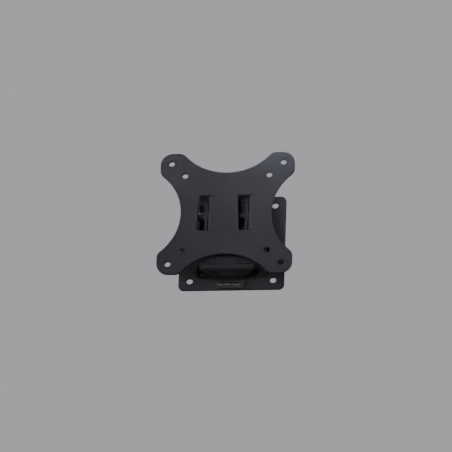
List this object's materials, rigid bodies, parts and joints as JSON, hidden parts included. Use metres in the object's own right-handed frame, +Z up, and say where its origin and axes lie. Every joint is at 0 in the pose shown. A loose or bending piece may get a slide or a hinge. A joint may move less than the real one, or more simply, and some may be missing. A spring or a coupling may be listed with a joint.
{
  "type": "monitor wall mount",
  "caption": "Steel wall mount that tilts and turns: X-shaped screen plate with square hole patterns, folded hinge bracket, and a square wall plate with a bubble level.",
  "frame": {"origin": "centre of the wall plate's back face, on the wall", "axes": "+Z up, +Y into the wall, so the screen plate faces -Y; +X to the right seen from the front"},
  "size_m": [0.12, 0.062, 0.12],
  "materials": {
    "powder_coat": "satin",
    "black_zinc": "satin",
    "nylon": "matte",
    "black_plastic": "satin",
    "clear_vial": "gloss",
    "green_fluid": "gloss"
  },
  "bodies": {
    "wall_bracket": {"wall_plate": "powder_coat", "wall_yoke": "powder_coat", "yoke_rivet_upper_left": "black_zinc", "yoke_rivet_lower_left": "black_zinc", "yoke_rivet_upper_right": "black_zinc", "yoke_rivet_lower_right": "black_zinc", "level_holder": "black_plastic", "level_vial": "clear_vial", "level_fluid": "green_fluid"},
    "turn_bracket": {"turn_bracket": "powder_coat", "turn_bolt_upper": "black_zinc", "turn_spacer_upper": "nylon", "turn_washer_upper": "black_zinc", "turn_nut_upper": "black_zinc", "turn_bolt_lower": "black_zinc", "turn_spacer_lower": "nylon", "turn_washer_lower": "black_zinc", "turn_nut_lower": "black_zinc"},
    "face_plate": {"face_plate": "powder_coat", "tilt_bolt_left": "black_zinc", "tilt_friction_washer_left": "nylon", "tilt_washer_left": "black_zinc", "tilt_nut_left": "black_zinc", "tilt_bolt_right": "black_zinc", "tilt_friction_washer_right": "nylon", "tilt_washer_right": "black_zinc", "tilt_nut_right": "black_zinc"}
  },
  "joints": [
    {"name": "turn", "type": "hinge", "parent": "wall_bracket", "child": "turn_bracket", "pos_m": [0, -0.031, 0], "axis": [0, 0, 1], "range_deg": [-20, 20]},
    {"name": "tilt", "type": "hinge", "parent": "turn_bracket", "child": "face_plate", "pos_m": [0, -0.0525, 0], "axis": [1, 0, 0], "range_deg": [-15, 15]}
  ]
}
